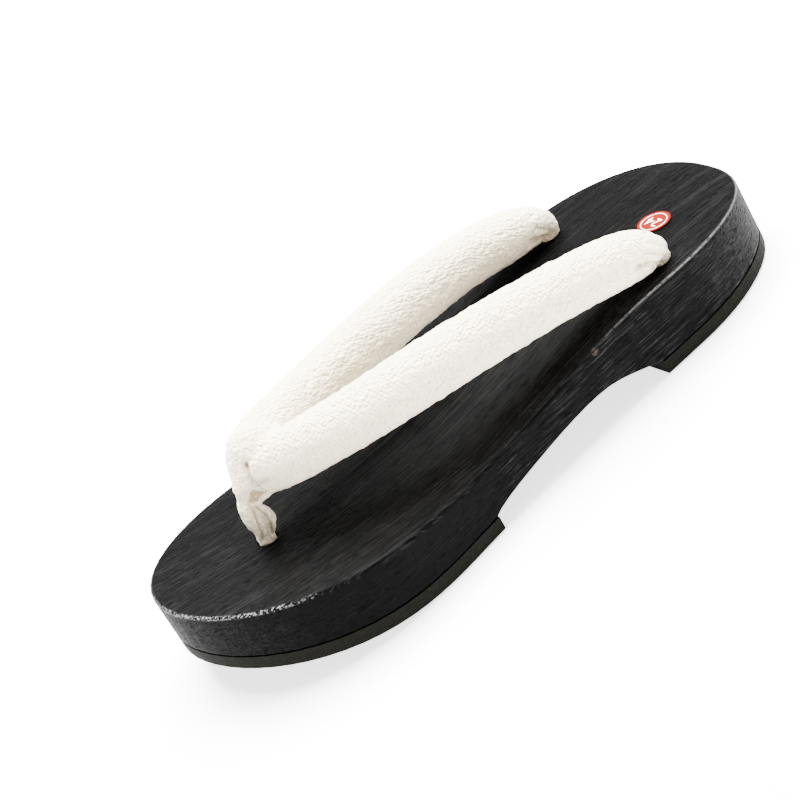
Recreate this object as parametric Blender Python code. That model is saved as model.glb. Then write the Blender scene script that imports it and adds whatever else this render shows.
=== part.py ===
"""A low wooden geta, left foot: one board with an arch, two rubber pads, a padded V strap and a toe thong.

Metres, +Z up. The toe points to -Y, the outer side is +X, and the pads stand on the plane z = 0.
"""
import math

import bmesh
import bpy
from mathutils import Vector

# Clearance between pieces that touch
GAP = 0.0003

# Board, seen from above
LENGTH = 0.245
BALL_WIDTH = 0.0945
WAIST_WIDTH = 0.0862
HEEL_WIDTH = 0.0850
BALL_FROM_TOE = 0.0605
WAIST_FROM_TOE = 0.1145
HEEL_FROM_TOE = 0.1725
TOE_CAP_LENGTH = 0.060
HEEL_CAP_LENGTH = 0.054
TOE_ROUNDNESS = 2.0
HEEL_ROUNDNESS = 2.4

# Board, seen from the side: heights of the deck above the floor
TOE_HEIGHT = 0.0353
BALL_HEIGHT = 0.0222
CROWN_HEIGHT = 0.0291
HEEL_END_HEIGHT = 0.0243
LOW_FROM_TOE = 0.0975
CROWN_FROM_TOE = 0.1775
TOE_KICK_POWER = 1.75
RIM_RADIUS = 0.0012
ARRIS = 0.0005

# Front block, arch and heel block
FRONT_BLOCK_LENGTH = 0.0960
HEEL_BLOCK_LENGTH = 0.0710
ARCH_RISE = 0.0072
PAD_THICKNESS = 0.0053
PAD_EDGE = 0.0006
ROCKER_FROM_TOE = 0.0790
ROCKER_RADIUS = 0.2440

# Holes for the strap
TOE_HOLE_FROM_TOE = 0.0420
TOE_HOLE_OFFSET = -0.0036
TOE_HOLE_RADIUS = 0.0037
REAR_HOLE_FROM_HEEL = 0.0517
REAR_HOLE_SPACING = 0.0580
REAR_HOLE_OFFSET = 0.0026
REAR_HOLE_STAGGER = 0.0030
REAR_HOLE_RADIUS = 0.0038
HOLE_SIDES = 24

# Padded strap. Its arms lean outwards, and the lean grows over TILT_EASE of an arm's length from each end.
STRAP_WIDTH = 0.0200
STRAP_THICKNESS = 0.0185
STRAP_RISE = 0.0268
STRAP_TILT = math.radians(35)
TILT_EASE = 0.40
STRAP_END_DEPTH = 0.0100

# Toe thong
THONG_WIDTH = 0.0130
THONG_THICKNESS = 0.0044
THONG_END_DEPTH = 0.0100

# Size sticker
STICKER_RADIUS = 0.0060
STICKER_THICKNESS = 0.0003
STICKER_FROM_HEEL = 0.0345
STICKER_OFFSET = 0.0113

TOE_Y = -LENGTH / 2
HEEL_Y = LENGTH / 2
TOE_HOLE_Y = TOE_Y + TOE_HOLE_FROM_TOE
FRONT_BLOCK_Y = TOE_Y + FRONT_BLOCK_LENGTH
HEEL_BLOCK_Y = HEEL_Y - HEEL_BLOCK_LENGTH

# The arch from the front block to the heel block: share of its length, share of its rise
ARCH = (
    {"along": 0.00, "rise": 0.06},
    {"along": 0.08, "rise": 0.27},
    {"along": 0.18, "rise": 0.45},
    {"along": 0.28, "rise": 0.62},
    {"along": 0.38, "rise": 0.78},
    {"along": 0.48, "rise": 0.91},
    {"along": 0.58, "rise": 0.99},
    {"along": 0.66, "rise": 1.00},
    {"along": 0.74, "rise": 0.92},
    {"along": 0.82, "rise": 0.70},
    {"along": 0.90, "rise": 0.39},
    {"along": 1.00, "rise": 0.00},
)

# One arm of the strap from its front end to the top of its rear hole. run: share of the way from the toe hole
# to the rear hole. out: share of the rear hole's distance from the strap's axis. rise: share of the strap's
# rise above the deck. width, thick: shares of the strap's width and thickness.
STRAP_SECTIONS = (
    {"run": 0.040, "out": 0.00, "rise": 0.88, "width": 0.34, "thick": 0.42},
    {"run": 0.048, "out": 0.03, "rise": 0.89, "width": 0.56, "thick": 0.68},
    {"run": 0.065, "out": 0.10, "rise": 0.92, "width": 0.76, "thick": 0.92},
    {"run": 0.096, "out": 0.21, "rise": 0.95, "width": 0.86, "thick": 1.04},
    {"run": 0.147, "out": 0.33, "rise": 0.98, "width": 0.90, "thick": 1.06},
    {"run": 0.268, "out": 0.50, "rise": 1.00, "width": 0.96, "thick": 1.02},
    {"run": 0.433, "out": 0.68, "rise": 0.97, "width": 1.00, "thick": 1.00},
    {"run": 0.598, "out": 0.84, "rise": 0.82, "width": 1.00, "thick": 1.00},
    {"run": 0.762, "out": 0.96, "rise": 0.60, "width": 0.98, "thick": 0.98},
    {"run": 0.884, "out": 1.00, "rise": 0.41, "width": 0.95, "thick": 0.94},
    {"run": 0.947, "out": 1.01, "rise": 0.31, "width": 0.88, "thick": 0.82},
    {"run": 0.985, "out": 1.01, "rise": 0.21, "width": 0.72, "thick": 0.65},
    {"run": 1.000, "out": 1.00, "rise": 0.11, "width": 0.52, "thick": 0.50},
)

# The thong from the front of the toe hole, over the strap's nose and through its crotch, to the back of the
# hole. back: share of the nose's length behind its front. up: share of the nose's height above the deck.
# width, thick: shares of the thong's width and thickness.
THONG_SECTIONS = (
    {"back": -0.47, "up": 0.13, "width": 0.38, "thick": 0.76},
    {"back": -0.49, "up": 0.25, "width": 0.42, "thick": 0.96},
    {"back": -0.46, "up": 0.38, "width": 0.45, "thick": 0.98},
    {"back": -0.37, "up": 0.51, "width": 0.50, "thick": 0.98},
    {"back": -0.22, "up": 0.65, "width": 0.66, "thick": 1.10},
    {"back": -0.06, "up": 0.77, "width": 0.88, "thick": 1.30},
    {"back": 0.09, "up": 0.89, "width": 1.00, "thick": 1.40},
    {"back": 0.27, "up": 0.99, "width": 1.00, "thick": 1.40},
    {"back": 0.53, "up": 1.01, "width": 0.96, "thick": 1.40},
    {"back": 0.80, "up": 0.96, "width": 0.84, "thick": 1.40},
    {"back": 1.04, "up": 0.84, "width": 0.66, "thick": 1.40},
    {"back": 1.10, "up": 0.67, "width": 0.60, "thick": 1.40},
    {"back": 0.93, "up": 0.53, "width": 0.64, "thick": 1.30},
    {"back": 0.63, "up": 0.46, "width": 0.72, "thick": 1.05},
    {"back": 0.30, "up": 0.445, "width": 0.62, "thick": 0.80},
    {"back": 0.00, "up": 0.435, "width": 0.52, "thick": 0.66},
    {"back": -0.14, "up": 0.37, "width": 0.50, "thick": 0.66},
    {"back": -0.13, "up": 0.25, "width": 0.56, "thick": 0.76},
    {"back": -0.16, "up": 0.12, "width": 0.54, "thick": 0.74},
)

# Each end of the thong in the toe hole, as shares of the hole's radius less the gap
THONG_END = {"offset": 0.62, "width": 0.56, "thick": 0.34}


def smooth_step(share):
    share = min(max(share, 0.0), 1.0)
    return share * share * (3 - 2 * share)


def blend(start, end, share):
    return start + (end - start) * share


def cap_share(distance, cap_length, roundness):
    """How much of the full width is left at a distance from the board's end."""
    inward = min(max(distance / cap_length, 0.0), 1.0)
    return (1 - (1 - inward) ** 2) ** (1 / roundness)


def half_width(y):
    from_toe = y - TOE_Y
    if from_toe < WAIST_FROM_TOE:
        share = smooth_step((from_toe - BALL_FROM_TOE) / (WAIST_FROM_TOE - BALL_FROM_TOE))
        width = blend(BALL_WIDTH, WAIST_WIDTH, share)
    else:
        share = smooth_step((from_toe - WAIST_FROM_TOE) / (HEEL_FROM_TOE - WAIST_FROM_TOE))
        width = blend(WAIST_WIDTH, HEEL_WIDTH, share)
    toe_end = cap_share(from_toe, TOE_CAP_LENGTH, TOE_ROUNDNESS)
    heel_end = cap_share(HEEL_Y - y, HEEL_CAP_LENGTH, HEEL_ROUNDNESS)
    return width / 2 * toe_end * heel_end


def deck_height(y):
    """The deck rises to the toe, dips under the ball, and has its crown at the front of the heel."""
    from_toe = y - TOE_Y
    if from_toe < LOW_FROM_TOE:
        share = min((LOW_FROM_TOE - from_toe) / LOW_FROM_TOE, 1.0)
        return blend(BALL_HEIGHT, TOE_HEIGHT, share ** TOE_KICK_POWER)
    if from_toe < CROWN_FROM_TOE:
        share = (from_toe - LOW_FROM_TOE) / (CROWN_FROM_TOE - LOW_FROM_TOE)
        return blend(BALL_HEIGHT, CROWN_HEIGHT, smooth_step(share))
    share = min((from_toe - CROWN_FROM_TOE) / (LENGTH - CROWN_FROM_TOE), 1.0)
    return blend(CROWN_HEIGHT, HEEL_END_HEIGHT, share ** 2)


def rocker_height(y):
    """The front pad's tread leaves the floor on an arc, so that the toe is sprung."""
    run = max(TOE_Y + ROCKER_FROM_TOE - y, 0.0)
    return ROCKER_RADIUS - math.sqrt(ROCKER_RADIUS ** 2 - run ** 2)


def curve_through(rows, key, along):
    """Read one column of a table at a place on its along column, on a smooth curve through its rows."""
    last = len(rows) - 1
    index = 0
    while index < last - 1 and along > rows[index + 1]["along"]:
        index += 1
    before, start = rows[max(index - 1, 0)], rows[index]
    end, after = rows[index + 1], rows[min(index + 2, last)]
    length = end["along"] - start["along"]
    t = min(max((along - start["along"]) / length, 0.0), 1.0)
    slope_start = (end[key] - before[key]) / (end["along"] - before["along"]) * length
    slope_end = (after[key] - start[key]) / (after["along"] - start["along"]) * length
    value = (2 * t ** 3 - 3 * t ** 2 + 1) * start[key] + (t ** 3 - 2 * t ** 2 + t) * slope_start
    return value + (3 * t ** 2 - 2 * t ** 3) * end[key] + (t ** 3 - t ** 2) * slope_end


def wood_underside(y):
    over_pad = PAD_THICKNESS + GAP
    if y <= FRONT_BLOCK_Y:
        return rocker_height(y) + over_pad
    if y >= HEEL_BLOCK_Y:
        return over_pad
    share = (y - FRONT_BLOCK_Y) / (HEEL_BLOCK_Y - FRONT_BLOCK_Y)
    return over_pad + ARCH_RISE * curve_through(ARCH, "rise", share)


def stations(start, end):
    """Places along the board, closer together in the round ends, with both given ends."""
    arc_steps = 15
    straight_step = 0.0055
    places = {start, end}
    for step in range(arc_steps + 1):
        inward = 1 - math.cos(math.pi / 2 * step / arc_steps)
        places.add(TOE_Y + TOE_CAP_LENGTH * inward)
        places.add(HEEL_Y - HEEL_CAP_LENGTH * inward)
    first, last = TOE_Y + TOE_CAP_LENGTH, HEEL_Y - HEEL_CAP_LENGTH
    steps = max(round((last - first) / straight_step), 1)
    for step in range(1, steps):
        places.add(blend(first, last, step / steps))
    block_ends = {FRONT_BLOCK_Y, HEEL_BLOCK_Y}
    too_close = 0.0012
    kept = {y for y in places if all(abs(y - block_end) > too_close for block_end in block_ends)}
    return sorted(y for y in kept | block_ends if start <= y <= end)


def side_points(places):
    """Outline points of the outer side with their outward directions, from toe to heel."""
    small = 0.00002
    points = []
    for y in places:
        at_tip = min(y - TOE_Y, HEEL_Y - y) < small
        if at_tip:
            outward = Vector((0.0, math.copysign(1.0, y), 0.0))
            points.append((Vector((0.0, y, 0.0)), outward))
            continue
        ahead, behind = min(y + small, HEEL_Y), max(y - small, TOE_Y)
        slope = (half_width(ahead) - half_width(behind)) / (ahead - behind)
        outward = Vector((1.0, -slope, 0.0)).normalized()
        points.append((Vector((half_width(y), y, 0.0)), outward))
    return points


def add_ring(mesh, sides, inset, height, level=0.0):
    """One ring round the outline. Returns its vertices as pairs, outer side and inner side.

    inset moves it inwards, height gives its z from y, and level is added to that.
    """
    pairs = []
    for point, outward in sides:
        place = point - outward * inset
        place.z = height(place.y) + level
        outer = mesh.verts.new(place)
        inner = outer
        if abs(point.x) > 1e-9:
            inner = mesh.verts.new((-place.x, place.y, place.z))
        pairs.append((outer, inner))
    return pairs


def add_face(mesh, corners):
    unique = []
    for corner in corners:
        if corner not in unique:
            unique.append(corner)
    if len(unique) > 2:
        mesh.faces.new(unique)


def add_wall(mesh, lower, upper):
    for index in range(len(lower) - 1):
        for side in (0, 1):
            corners = (lower[index][side], lower[index + 1][side], upper[index + 1][side], upper[index][side])
            add_face(mesh, corners)


def add_lid(mesh, ring):
    for (outer, inner), (next_outer, next_inner) in zip(ring, ring[1:]):
        add_face(mesh, (outer, next_outer, next_inner, inner))


def add_end_face(mesh, rings, index):
    """Close a block's straight end, where the rings stop short of the board's tip."""
    outer = [ring[index][0] for ring in rings]
    inner = [ring[index][1] for ring in reversed(rings)]
    if outer[0] is not inner[-1]:
        add_face(mesh, outer + inner)


def outline_solid(name, start, end, rings_of, material):
    """A closed body over the board's outline between two places, from a list of (inset, height, level)."""
    mesh = bmesh.new()
    sides = side_points(stations(start, end))
    rings = [add_ring(mesh, sides, inset, height, level) for inset, height, level in rings_of]
    for lower, upper in zip(rings, rings[1:]):
        add_wall(mesh, lower, upper)
    add_lid(mesh, rings[0])
    add_lid(mesh, rings[-1])
    add_end_face(mesh, rings, 0)
    add_end_face(mesh, rings, -1)
    return finish(name, mesh, material)


def write_mesh(mesh, data):
    sharp_angle = math.radians(40)
    mesh.to_mesh(data)
    mesh.free()
    data.shade_smooth()
    data.set_sharp_from_angle(angle=sharp_angle)


def finish(name, mesh, material):
    bmesh.ops.recalc_face_normals(mesh, faces=mesh.faces)
    data = bpy.data.meshes.new(name)
    write_mesh(mesh, data)
    data.materials.append(material)
    piece = bpy.data.objects.new(name, data)
    bpy.context.scene.collection.objects.link(piece)
    return piece


def make_material(name, colour, roughness):
    material = bpy.data.materials.new(name)
    material.use_nodes = True
    shader = material.node_tree.nodes["Principled BSDF"]
    shader.inputs["Base Color"].default_value = (*colour, 1.0)
    shader.inputs["Roughness"].default_value = roughness
    shader.inputs["Metallic"].default_value = 0.0
    return material


def make_helper(piece):
    """A body that only cuts or joins another one."""
    piece.hide_render = True
    piece.display_type = "WIRE"
    return piece


def add_boolean(piece, helper, operation):
    modifier = piece.modifiers.new(helper.name, "BOOLEAN")
    modifier.operation = operation
    modifier.solver = "EXACT"
    modifier.object = helper


def apply_cuts(piece):
    """Apply a piece's cuts and merge the hair-thin faces that a grazing cut leaves."""
    mesh = bmesh.new()
    mesh.from_object(piece, bpy.context.evaluated_depsgraph_get())
    bmesh.ops.remove_doubles(mesh, verts=mesh.verts, dist=0.00005)
    bmesh.ops.dissolve_degenerate(mesh, edges=mesh.edges, dist=0.00005)
    bmesh.ops.triangulate(mesh, faces=mesh.faces)
    piece.modifiers.clear()
    write_mesh(mesh, piece.data)


def cylinder(name, x, y, bottom, top, radius, material):
    mesh = bmesh.new()
    bmesh.ops.create_cone(
        mesh, cap_ends=True, segments=HOLE_SIDES, radius1=radius, radius2=radius, depth=top - bottom)
    bmesh.ops.translate(mesh, verts=mesh.verts, vec=(x, y, (top + bottom) / 2))
    return finish(name, mesh, material)


def rear_hole(side):
    x = REAR_HOLE_OFFSET + side * REAR_HOLE_SPACING / 2
    y = HEEL_Y - REAR_HOLE_FROM_HEEL + side * REAR_HOLE_STAGGER / 2
    return x, y


def make_board(material):
    rim_steps = 4
    rings = [(ARRIS, wood_underside, 0.0), (0.0, wood_underside, ARRIS)]
    for step in range(rim_steps + 1):
        turn = math.pi / 2 * step / rim_steps
        rings.append((RIM_RADIUS * (1 - math.cos(turn)), deck_height, -RIM_RADIUS * (1 - math.sin(turn))))
    board = outline_solid("wood_body", TOE_Y, HEEL_Y, rings, material)
    holes = (
        ("toe_hole", TOE_HOLE_OFFSET, TOE_HOLE_Y, TOE_HOLE_RADIUS),
        ("outer_rear_hole", *rear_hole(1), REAR_HOLE_RADIUS),
        ("inner_rear_hole", *rear_hole(-1), REAR_HOLE_RADIUS),
    )
    for name, x, y, radius in holes:
        cutter = cylinder(name, x, y, 0.0, deck_height(y) + radius, radius, material)
        add_boolean(board, make_helper(cutter), "DIFFERENCE")
    return board


def make_pad(name, start, end, material):
    rings = (
        (PAD_EDGE, rocker_height, 0.0),
        (0.0, rocker_height, PAD_EDGE),
        (0.0, rocker_height, PAD_THICKNESS),
    )
    return outline_solid(name, start, end, rings, material)


def numbered(points):
    """A path's points as a table whose along column counts its rows."""
    columns = ("x", "y", "z", "wide", "thick")
    return [dict(zip(columns, point), along=index) for index, point in enumerate(points)]


def arm_rows(side):
    """Middle, half width and half thickness of one arm, from its front end down into its rear hole."""
    hole_x, hole_y = rear_hole(side)
    points = []
    for row in STRAP_SECTIONS:
        axis_x = blend(TOE_HOLE_OFFSET, REAR_HOLE_OFFSET, row["run"])
        x = axis_x + row["out"] * (hole_x - REAR_HOLE_OFFSET)
        y = blend(TOE_HOLE_Y, hole_y, row["run"])
        z = deck_height(y) + row["rise"] * STRAP_RISE
        points.append((x, y, z, row["width"] * STRAP_WIDTH / 2, row["thick"] * STRAP_THICKNESS / 2))
    room = REAR_HOLE_RADIUS - GAP
    for level in (0.0, -STRAP_END_DEPTH / 2, -STRAP_END_DEPTH):
        points.append((hole_x, hole_y, deck_height(hole_y) + level, room, room))
    return numbered(points)


def path_point(rows, along):
    return Vector([curve_through(rows, key, along) for key in ("x", "y", "z")])


def sweep(rows, around, between, tilt=0.0, side=1):
    """Oval sections along a path, turned with it. tilt leans each one outwards, less near both ends."""
    small = 0.05
    last = len(rows) - 1
    sections = []
    for step in range(last * between + 1):
        along = step / between
        middle = path_point(rows, along)
        ahead, behind = path_point(rows, min(along + small, last)), path_point(rows, max(along - small, 0))
        forward = (ahead - behind).normalized()
        across = Vector((side, 0, 0))
        across = (across - forward * forward.x * side).normalized()
        up = forward.cross(across).normalized() * -side
        from_ends = along / last / TILT_EASE, (1 - along / last) / TILT_EASE
        lean = tilt * smooth_step(from_ends[0]) * smooth_step(from_ends[1])
        wide = across * math.cos(lean) - up * math.sin(lean)
        thick = up * math.cos(lean) + across * math.sin(lean)
        half_wide = curve_through(rows, "wide", along)
        half_thick = curve_through(rows, "thick", along)
        turns = [2 * math.pi * corner / around for corner in range(around)]
        sections.append([
            middle + wide * half_wide * math.cos(turn) + thick * half_thick * math.sin(turn) for turn in turns])
    return sections


def loft(mesh, sections):
    """Skin closed sections of equal point counts, and close both ends with a fan."""
    rings = [[mesh.verts.new(point) for point in section] for section in sections]
    for ring, next_ring in zip(rings, rings[1:]):
        for index, vertex in enumerate(ring):
            after = (index + 1) % len(ring)
            mesh.faces.new((vertex, ring[after], next_ring[after], next_ring[index]))
    for ring in (rings[0], rings[-1]):
        middle = sum((vertex.co for vertex in ring), Vector()) / len(ring)
        tip = mesh.verts.new(middle)
        for index, vertex in enumerate(ring):
            mesh.faces.new((vertex, ring[(index + 1) % len(ring)], tip))


def make_arm(name, side, material, grow):
    """One padded arm: an oval roll that leans over the foot and bends down into its rear hole."""
    mesh = bmesh.new()
    loft(mesh, sweep(arm_rows(side), around=24, between=2, tilt=STRAP_TILT, side=side))
    bmesh.ops.recalc_face_normals(mesh, faces=mesh.faces)
    mesh.normal_update()
    moves = [vertex.normal * vertex.calc_shell_factor() * grow for vertex in mesh.verts]
    for vertex, move in zip(mesh.verts, moves):
        vertex.co += move
    return finish(name, mesh, material)


def make_strap(name, material, grow=0.0):
    """Both arms, joined at the nose. grow makes them larger all round."""
    strap = make_arm(name, 1, material, grow)
    add_boolean(strap, make_helper(make_arm(name + "_inner_arm", -1, material, grow)), "UNION")
    return strap


def nose_size():
    """Front of the strap's nose, its length back to the crotch of the arms, and its top above the deck."""
    step = 0.05
    rows = arm_rows(1)
    along = 1.0
    crotch, inner_edge = None, -1.0
    while inner_edge < 0.0:
        along += step
        crotch = path_point(rows, along)
        forward = (crotch - path_point(rows, along - step)).normalized()
        inner_edge = crotch.x - TOE_HOLE_OFFSET - curve_through(rows, "wide", along) / forward.y
    top = crotch.z + curve_through(rows, "thick", along)
    return rows[0]["y"], crotch.y - rows[0]["y"], top - deck_height(TOE_HOLE_Y)


def thong_rows():
    """Middle, half width and half thickness of the thong. Both its ends stand side by side in the toe hole."""
    front, length, height = nose_size()
    deck = deck_height(TOE_HOLE_Y)
    room = TOE_HOLE_RADIUS - GAP
    end_offset, end_wide, end_thick = (room * THONG_END[key] for key in ("offset", "width", "thick"))
    points = []
    for level in (-THONG_END_DEPTH, 0.0):
        points.append((TOE_HOLE_OFFSET, TOE_HOLE_Y - end_offset, deck + level, end_wide, end_thick))
    for row in THONG_SECTIONS:
        y, z = front + row["back"] * length, deck + row["up"] * height
        points.append((TOE_HOLE_OFFSET, y, z, row["width"] * THONG_WIDTH / 2, row["thick"] * THONG_THICKNESS / 2))
    for level in (0.0, -THONG_END_DEPTH):
        points.append((TOE_HOLE_OFFSET, TOE_HOLE_Y + end_offset, deck + level, end_wide, end_thick))
    return numbered(points)


def make_thong(material):
    """A flat band swept along its path and hollowed by the strap that it holds."""
    mesh = bmesh.new()
    loft(mesh, sweep(thong_rows(), around=16, between=3))
    thong = finish("toe_thong", mesh, material)
    add_boolean(thong, make_helper(make_strap("strap_room", material, grow=GAP)), "DIFFERENCE")
    apply_cuts(thong)
    return thong


def make_sticker(material):
    sides = 32
    middle = Vector((STICKER_OFFSET, HEEL_Y - STICKER_FROM_HEEL))
    mesh = bmesh.new()
    layers = []
    for level in (GAP, GAP + STICKER_THICKNESS):
        rim = []
        for side in range(sides):
            turn = 2 * math.pi * side / sides
            x = middle.x + STICKER_RADIUS * math.cos(turn)
            y = middle.y + STICKER_RADIUS * math.sin(turn)
            rim.append(mesh.verts.new((x, y, deck_height(y) + level)))
        centre = mesh.verts.new((middle.x, middle.y, deck_height(middle.y) + level))
        for side, vertex in enumerate(rim):
            mesh.faces.new((vertex, rim[(side + 1) % sides], centre))
        layers.append(rim)
    lower, upper = layers
    for side in range(sides):
        after = (side + 1) % sides
        mesh.faces.new((lower[side], lower[after], upper[after], upper[side]))
    return finish("size_sticker", mesh, material)


def build():
    for piece in list(bpy.data.objects):
        bpy.data.objects.remove(piece)
    wood = make_material("burnt_wood", (0.012, 0.012, 0.012), 0.42)
    rubber = make_material("foam_rubber", (0.020, 0.021, 0.018), 0.85)
    cloth = make_material("crepe_cloth", (0.80, 0.76, 0.69), 0.90)
    paper = make_material("red_label", (0.80, 0.06, 0.03), 0.40)
    make_board(wood)
    make_pad("front_rubber", TOE_Y, FRONT_BLOCK_Y, rubber)
    make_pad("heel_rubber", HEEL_BLOCK_Y, HEEL_Y, rubber)
    make_strap("strap", cloth)
    make_thong(cloth)
    make_sticker(paper)


build()
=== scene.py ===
"""Looks for a low wooden geta: brushed black board, rubber pads, crepe-covered strap and toe thong.

Metres, +Z up. The toe points to -Y and the outer side of the left foot is +X.
"""

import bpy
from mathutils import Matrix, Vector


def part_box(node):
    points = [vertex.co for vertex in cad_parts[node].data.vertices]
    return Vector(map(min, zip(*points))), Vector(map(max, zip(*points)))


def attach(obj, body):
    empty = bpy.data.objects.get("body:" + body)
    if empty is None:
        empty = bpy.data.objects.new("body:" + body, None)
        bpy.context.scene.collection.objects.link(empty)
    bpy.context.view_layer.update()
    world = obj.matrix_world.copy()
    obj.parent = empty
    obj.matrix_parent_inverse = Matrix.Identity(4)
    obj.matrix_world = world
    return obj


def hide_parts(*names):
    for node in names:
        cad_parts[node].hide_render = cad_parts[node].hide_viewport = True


bl_info = {
    "name": "Wooden Geta Looks",
    "version": (1, 0, 0),
    "blender": (4, 5, 0),
    "location": "3D View > Sidebar > Geta",
    "description": "Finishes a wooden geta around its packed frame",
    "category": "Object",
}

import math

import bpy
import numpy as np
from bpy.props import FloatProperty, FloatVectorProperty, PointerProperty, StringProperty
from mathutils import Matrix, Vector, kdtree, noise

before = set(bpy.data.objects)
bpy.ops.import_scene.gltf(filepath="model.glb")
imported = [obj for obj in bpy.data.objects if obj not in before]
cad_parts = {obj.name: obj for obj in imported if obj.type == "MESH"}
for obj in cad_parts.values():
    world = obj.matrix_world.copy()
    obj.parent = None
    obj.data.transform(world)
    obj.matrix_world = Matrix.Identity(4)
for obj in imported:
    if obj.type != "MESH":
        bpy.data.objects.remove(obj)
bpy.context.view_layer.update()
MM = 0.001
BOARD_LOW, BOARD_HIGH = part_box("wood_body")
STRAP_LOW, STRAP_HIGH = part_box("strap")
STICKER_LOW, STICKER_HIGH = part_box("size_sticker")
STICKER_MIDDLE = (STICKER_LOW + STICKER_HIGH) / 2

# Middles of the board's holes: the toe hole, and the rear hole of each side.
TOE_HOLE = (-0.0036, -0.0805)
REAR_HOLES = {1: (0.0316, 0.0723), -1: (-0.0264, 0.0693)}
DECK_AT_REAR_HOLES = 0.0310

# Middle and radius of the bunched cloth in the toe hole, then the count and height of its bunches.
GATHERED_END = (-0.0036, -0.0811, 0.0262)
GATHERED_RADIUS = 0.00273
BUNCHES, BUNCH_HEIGHT = 5, 0.0004

# Places along the board where a finish starts and where it has reached its full strength.
# Along the toe, the rim's worn flakes are painted lighter as glints.
TOE_WEAR_AND_GLINT = (-0.083, -0.104)
# Towards the heel, the rim gets a painted highlight.
HEEL_HIGHLIGHT = (0.020, 0.070)
HEEL_DASHES = (0.020, 0.060)
WAIST_DASHES_FROM = (-0.035, -0.010)
WAIST_DASHES_TO = (0.070, 0.030)
SMOOTH_BALL = (0.012, -0.016)
BALL_BAND_FROM = (-0.104, -0.085)
BALL_BAND_TO = (0.005, -0.020)

# Depths below the deck where a finish of the wall starts and where it has reached its full strength.
WALL_STARTS = (0.0010, 0.0026)
BALL_BAND_DOWN = (0.0048, 0.0032)
END_GRAIN_STARTS = (0.0008, 0.0023)

# Toe rim with worn flakes painted as glints, heel rim with a painted highlight: distances from the edge where
# they start and are full, and depths where they fade and end.
TOE_RIM_IN, TOE_RIM_DOWN = (0.0010, 0.0003), (0.0008, 0.0017)
HEEL_RIM_IN, HEEL_RIM_DOWN = (0.0008, 0.0002), (0.0003, 0.0011)

# The outline is read at this depth, and the deck's ridges start and are full this far in from it.
OUTLINE_DEPTH = 0.0026
RIDGES_IN = (0.0015, 0.0035)

# Along x, y and z: the first cut's distance from the board's box, and the distance between cuts.
FIRST_CUTS = (0.0007, 0.0008, 0.0016)
BOARD_CUTS = (0.0010, 0.0040, 0.0016)

# The thong's wrap above NOSE_CUT is carried by the strap, and the thong itself ends at THONG_TOP.
NOSE_CUT = 0.0465
THONG_TOP = 0.0510

# Sizes in the cloth: distance between pebbles, and size of the lumps on the strap and on the thong.
PEBBLE_PITCH = 0.0016
STRAP_LUMPS, THONG_LUMPS = 0.0026, 0.0014

# Radius of the strap's padded arm, and its length for each metre along y.
ARM_RADIUS, ARM_LENGTH = 0.0095, 1.05

# Thickness of the sticker's printed number, and its height above the film.
PRINT_THICKNESS, PRINT_LIFT = 0.00003, 0.00001

# Camera: place, then azimuth, elevation and roll in degrees.
CAMERA_PLACE = (0.78866, -0.32166, 0.52017)
CAMERA_ANGLES = (68.96, 29.85, -30.75)
CAMERA_SENSOR = 36.0

# Area lights: name, place, target, size, and the property that holds the power.
LIGHTS = (
    ("key_light", (-0.42, 0.30, 1.35), (0, 0, 0), 1.3, "key"),
    ("toe_light", (-0.35, -1.10, 0.55), (0, -0.05, 0.02), 0.7, "side"),
    ("heel_light", (0.30, 1.10, 0.60), (0, 0.05, 0.02), 0.7, "side"),
    ("back_light", (-1.20, 0.70, 0.50), (0, 0.0, 0.02), 0.8, "back"),
)


class Field:
    """A shader socket that Python arithmetic turns into Math nodes."""

    def __init__(self, shader, socket):
        self.shader = shader
        self.socket = socket

    def math(self, operation, *values):
        return self.shader.add("ShaderNodeMath", {"operation": operation}, dict(enumerate(values)))

    def __add__(self, other):
        return self.math("ADD", self, other)

    def __sub__(self, other):
        return self.math("SUBTRACT", self, other)

    def __rsub__(self, other):
        return self.math("SUBTRACT", other, self)

    def __mul__(self, other):
        return self.math("MULTIPLY", self, other)

    def __pow__(self, other):
        return self.math("POWER", self, other)

    def sine(self):
        return self.math("SINE", self)

    __radd__ = __add__
    __rmul__ = __mul__


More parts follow.
